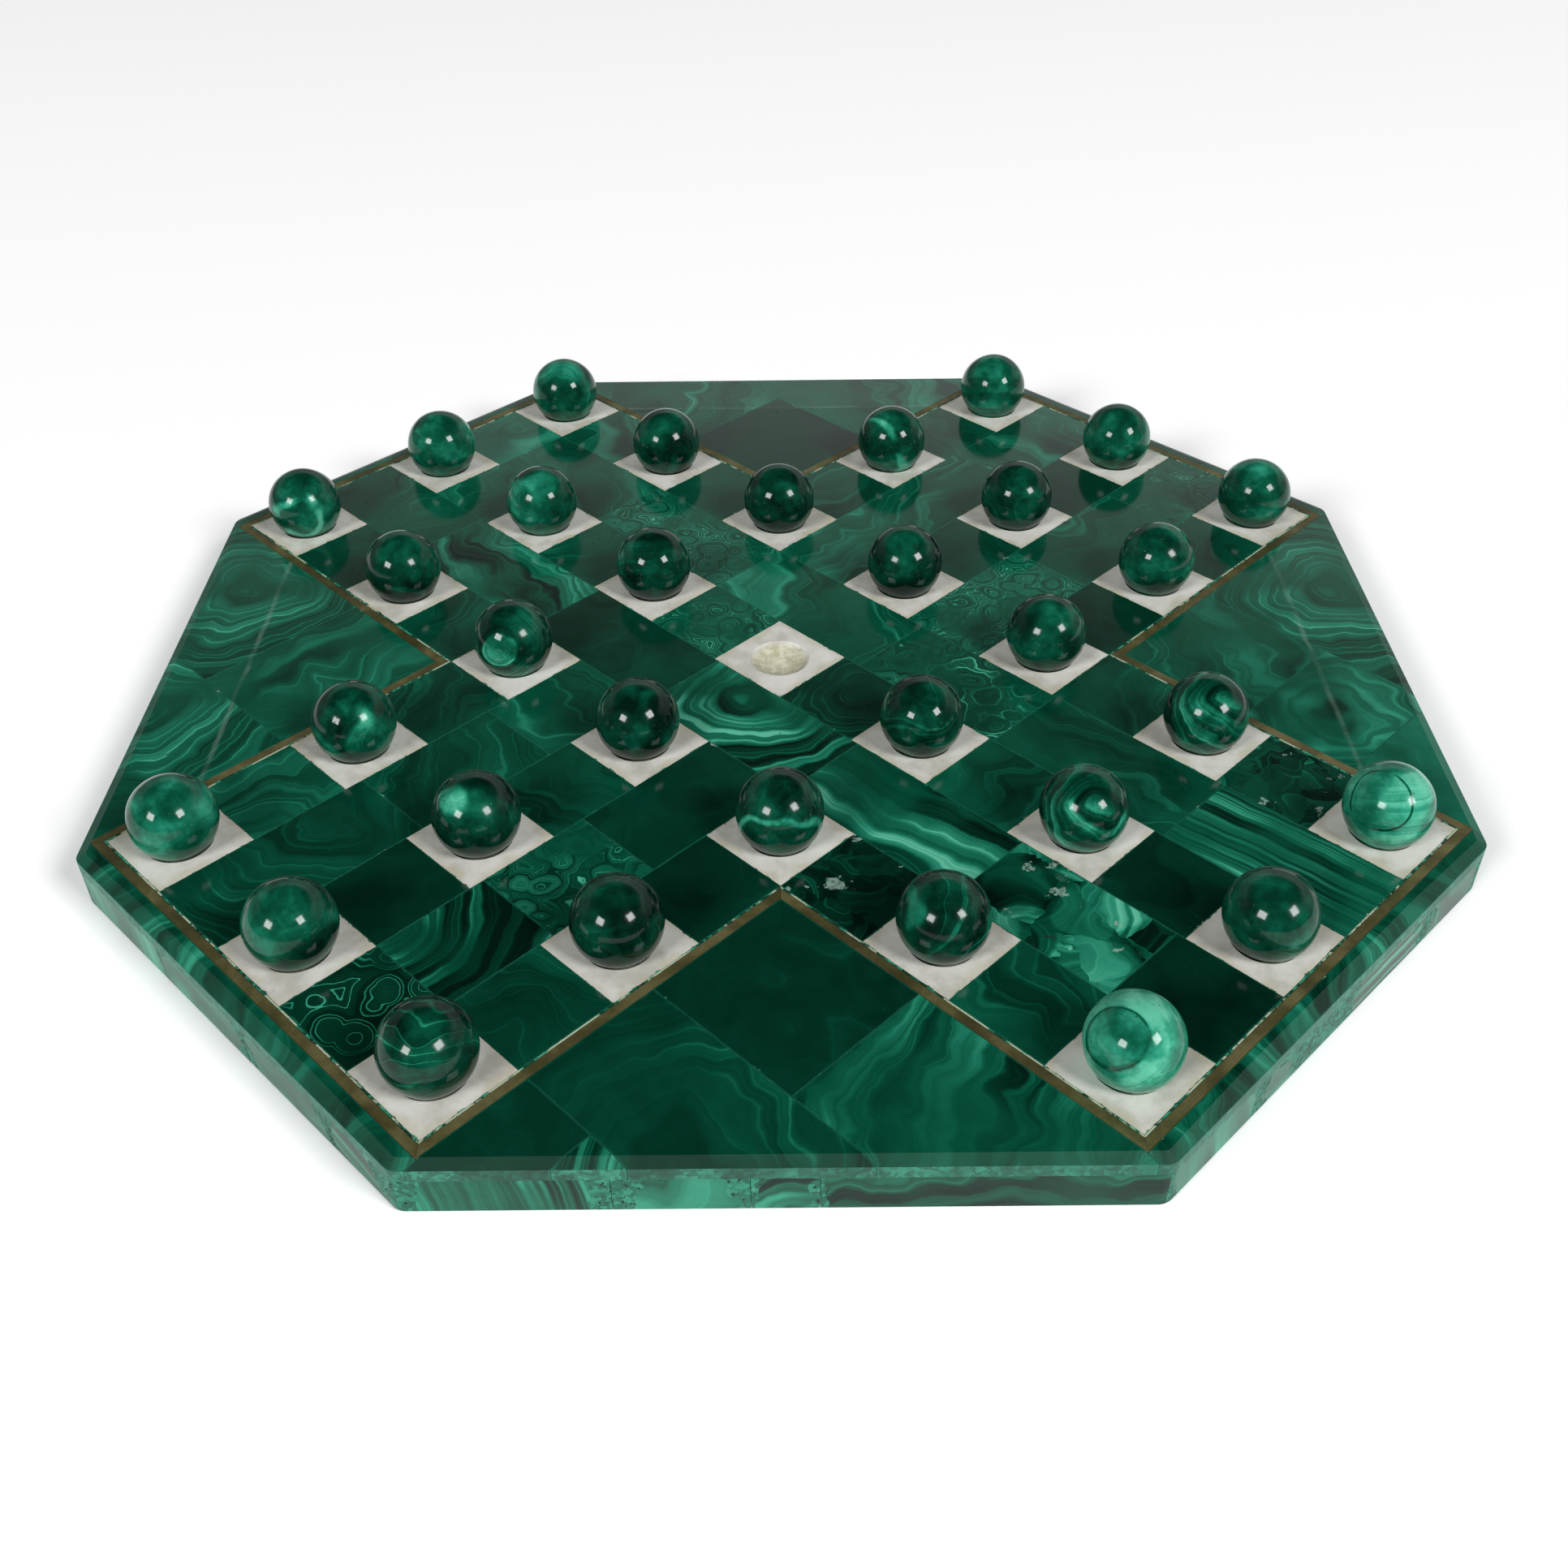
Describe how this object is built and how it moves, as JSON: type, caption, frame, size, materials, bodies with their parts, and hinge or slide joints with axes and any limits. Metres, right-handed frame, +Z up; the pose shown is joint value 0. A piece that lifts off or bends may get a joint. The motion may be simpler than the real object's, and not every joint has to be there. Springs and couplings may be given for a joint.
{
  "type": "marble solitaire board",
  "caption": "Octagonal malachite solitaire board: a cross of white dimpled sockets set in green stone, brass lines and loose malachite marbles that lift out.",
  "frame": {"origin": "centre of the flat underside, on the surface that the board rests on", "axes": "+Z up through the board; +X and +Y along the two arms of the cross, the rows and columns of sockets"},
  "size_m": [0.293, 0.293, 0.0283],
  "materials": {
    "core_stone": "sawn grey stone slab",
    "malachite_facing": "satin polished malachite",
    "malachite_veneer": "polished malachite veneer",
    "malachite_marble": "polished malachite",
    "malachite_filler": "crushed malachite in mastic",
    "white_marble": "honed white marble",
    "brass": "dulled brass strip"
  },
  "bodies": {
    "board": {"core_slab": "core_stone", "edge_facing_east": "malachite_facing", "edge_facing_northeast": "malachite_facing", "edge_facing_north": "malachite_facing", "edge_facing_northwest": "malachite_facing", "edge_facing_west": "malachite_facing", "edge_facing_southwest": "malachite_facing", "edge_facing_south": "malachite_facing", "edge_facing_southeast": "malachite_facing", "socket_tiles_centre": "white_marble", "socket_tiles_east": "white_marble", "socket_tiles_north": "white_marble", "socket_tiles_west": "white_marble", "socket_tiles_south": "white_marble", "field_stones_centre": "malachite_veneer", "field_stones_east": "malachite_veneer", "field_stones_north": "malachite_veneer", "field_stones_west": "malachite_veneer", "field_stones_south": "malachite_veneer", "corner_panel_southeast": "malachite_veneer", "corner_panel_northeast": "malachite_veneer", "corner_panel_northwest": "malachite_veneer", "corner_panel_southwest": "malachite_veneer", "border_strips": "malachite_veneer", "brass_stringing": "brass", "filler_lines": "malachite_filler"},
    "marble_c1_r3": {"marble_c1_r3": "malachite_marble"},
    "marble_c1_r4": {"marble_c1_r4": "malachite_marble"},
    "marble_c1_r5": {"marble_c1_r5": "malachite_marble"},
    "marble_c2_r3": {"marble_c2_r3": "malachite_marble"},
    "marble_c2_r4": {"marble_c2_r4": "malachite_marble"},
    "marble_c2_r5": {"marble_c2_r5": "malachite_marble"},
    "marble_c3_r1": {"marble_c3_r1": "malachite_marble"},
    "marble_c3_r2": {"marble_c3_r2": "malachite_marble"},
    "marble_c3_r3": {"marble_c3_r3": "malachite_marble"},
    "marble_c3_r4": {"marble_c3_r4": "malachite_marble"},
    "marble_c3_r5": {"marble_c3_r5": "malachite_marble"},
    "marble_c3_r6": {"marble_c3_r6": "malachite_marble"},
    "marble_c3_r7": {"marble_c3_r7": "malachite_marble"},
    "marble_c4_r1": {"marble_c4_r1": "malachite_marble"},
    "marble_c4_r2": {"marble_c4_r2": "malachite_marble"},
    "marble_c4_r3": {"marble_c4_r3": "malachite_marble"},
    "marble_c4_r5": {"marble_c4_r5": "malachite_marble"},
    "marble_c4_r6": {"marble_c4_r6": "malachite_marble"},
    "marble_c4_r7": {"marble_c4_r7": "malachite_marble"},
    "marble_c5_r1": {"marble_c5_r1": "malachite_marble"},
    "marble_c5_r2": {"marble_c5_r2": "malachite_marble"},
    "marble_c5_r3": {"marble_c5_r3": "malachite_marble"},
    "marble_c5_r4": {"marble_c5_r4": "malachite_marble"},
    "marble_c5_r5": {"marble_c5_r5": "malachite_marble"},
    "marble_c5_r6": {"marble_c5_r6": "malachite_marble"},
    "marble_c5_r7": {"marble_c5_r7": "malachite_marble"},
    "marble_c6_r3": {"marble_c6_r3": "malachite_marble"},
    "marble_c6_r4": {"marble_c6_r4": "malachite_marble"},
    "marble_c6_r5": {"marble_c6_r5": "malachite_marble"},
    "marble_c7_r3": {"marble_c7_r3": "malachite_marble"},
    "marble_c7_r4": {"marble_c7_r4": "malachite_marble"},
    "marble_c7_r5": {"marble_c7_r5": "malachite_marble"}
  },
  "joints": [
    {"name": "lift_marble_c1_r3", "type": "slide", "parent": "board", "child": "marble_c1_r3", "axis": [0, 0, 1], "range_m": [0, 0.05]},
    {"name": "lift_marble_c1_r4", "type": "slide", "parent": "board", "child": "marble_c1_r4", "axis": [0, 0, 1], "range_m": [0, 0.05]},
    {"name": "lift_marble_c1_r5", "type": "slide", "parent": "board", "child": "marble_c1_r5", "axis": [0, 0, 1], "range_m": [0, 0.05]},
    {"name": "lift_marble_c2_r3", "type": "slide", "parent": "board", "child": "marble_c2_r3", "axis": [0, 0, 1], "range_m": [0, 0.05]},
    {"name": "lift_marble_c2_r4", "type": "slide", "parent": "board", "child": "marble_c2_r4", "axis": [0, 0, 1], "range_m": [0, 0.05]},
    {"name": "lift_marble_c2_r5", "type": "slide", "parent": "board", "child": "marble_c2_r5", "axis": [0, 0, 1], "range_m": [0, 0.05]},
    {"name": "lift_marble_c3_r1", "type": "slide", "parent": "board", "child": "marble_c3_r1", "axis": [0, 0, 1], "range_m": [0, 0.05]},
    {"name": "lift_marble_c3_r2", "type": "slide", "parent": "board", "child": "marble_c3_r2", "axis": [0, 0, 1], "range_m": [0, 0.05]},
    {"name": "lift_marble_c3_r3", "type": "slide", "parent": "board", "child": "marble_c3_r3", "axis": [0, 0, 1], "range_m": [0, 0.05]},
    {"name": "lift_marble_c3_r4", "type": "slide", "parent": "board", "child": "marble_c3_r4", "axis": [0, 0, 1], "range_m": [0, 0.05]},
    {"name": "lift_marble_c3_r5", "type": "slide", "parent": "board", "child": "marble_c3_r5", "axis": [0, 0, 1], "range_m": [0, 0.05]},
    {"name": "lift_marble_c3_r6", "type": "slide", "parent": "board", "child": "marble_c3_r6", "axis": [0, 0, 1], "range_m": [0, 0.05]},
    {"name": "lift_marble_c3_r7", "type": "slide", "parent": "board", "child": "marble_c3_r7", "axis": [0, 0, 1], "range_m": [0, 0.05]},
    {"name": "lift_marble_c4_r1", "type": "slide", "parent": "board", "child": "marble_c4_r1", "axis": [0, 0, 1], "range_m": [0, 0.05]},
    {"name": "lift_marble_c4_r2", "type": "slide", "parent": "board", "child": "marble_c4_r2", "axis": [0, 0, 1], "range_m": [0, 0.05]},
    {"name": "lift_marble_c4_r3", "type": "slide", "parent": "board", "child": "marble_c4_r3", "axis": [0, 0, 1], "range_m": [0, 0.05]},
    {"name": "lift_marble_c4_r5", "type": "slide", "parent": "board", "child": "marble_c4_r5", "axis": [0, 0, 1], "range_m": [0, 0.05]},
    {"name": "lift_marble_c4_r6", "type": "slide", "parent": "board", "child": "marble_c4_r6", "axis": [0, 0, 1], "range_m": [0, 0.05]},
    {"name": "lift_marble_c4_r7", "type": "slide", "parent": "board", "child": "marble_c4_r7", "axis": [0, 0, 1], "range_m": [0, 0.05]},
    {"name": "lift_marble_c5_r1", "type": "slide", "parent": "board", "child": "marble_c5_r1", "axis": [0, 0, 1], "range_m": [0, 0.05]},
    {"name": "lift_marble_c5_r2", "type": "slide", "parent": "board", "child": "marble_c5_r2", "axis": [0, 0, 1], "range_m": [0, 0.05]},
    {"name": "lift_marble_c5_r3", "type": "slide", "parent": "board", "child": "marble_c5_r3", "axis": [0, 0, 1], "range_m": [0, 0.05]},
    {"name": "lift_marble_c5_r4", "type": "slide", "parent": "board", "child": "marble_c5_r4", "axis": [0, 0, 1], "range_m": [0, 0.05]},
    {"name": "lift_marble_c5_r5", "type": "slide", "parent": "board", "child": "marble_c5_r5", "axis": [0, 0, 1], "range_m": [0, 0.05]},
    {"name": "lift_marble_c5_r6", "type": "slide", "parent": "board", "child": "marble_c5_r6", "axis": [0, 0, 1], "range_m": [0, 0.05]},
    {"name": "lift_marble_c5_r7", "type": "slide", "parent": "board", "child": "marble_c5_r7", "axis": [0, 0, 1], "range_m": [0, 0.05]},
    {"name": "lift_marble_c6_r3", "type": "slide", "parent": "board", "child": "marble_c6_r3", "axis": [0, 0, 1], "range_m": [0, 0.05]},
    {"name": "lift_marble_c6_r4", "type": "slide", "parent": "board", "child": "marble_c6_r4", "axis": [0, 0, 1], "range_m": [0, 0.05]},
    {"name": "lift_marble_c6_r5", "type": "slide", "parent": "board", "child": "marble_c6_r5", "axis": [0, 0, 1], "range_m": [0, 0.05]},
    {"name": "lift_marble_c7_r3", "type": "slide", "parent": "board", "child": "marble_c7_r3", "axis": [0, 0, 1], "range_m": [0, 0.05]},
    {"name": "lift_marble_c7_r4", "type": "slide", "parent": "board", "child": "marble_c7_r4", "axis": [0, 0, 1], "range_m": [0, 0.05]},
    {"name": "lift_marble_c7_r5", "type": "slide", "parent": "board", "child": "marble_c7_r5", "axis": [0, 0, 1], "range_m": [0, 0.05]}
  ]
}
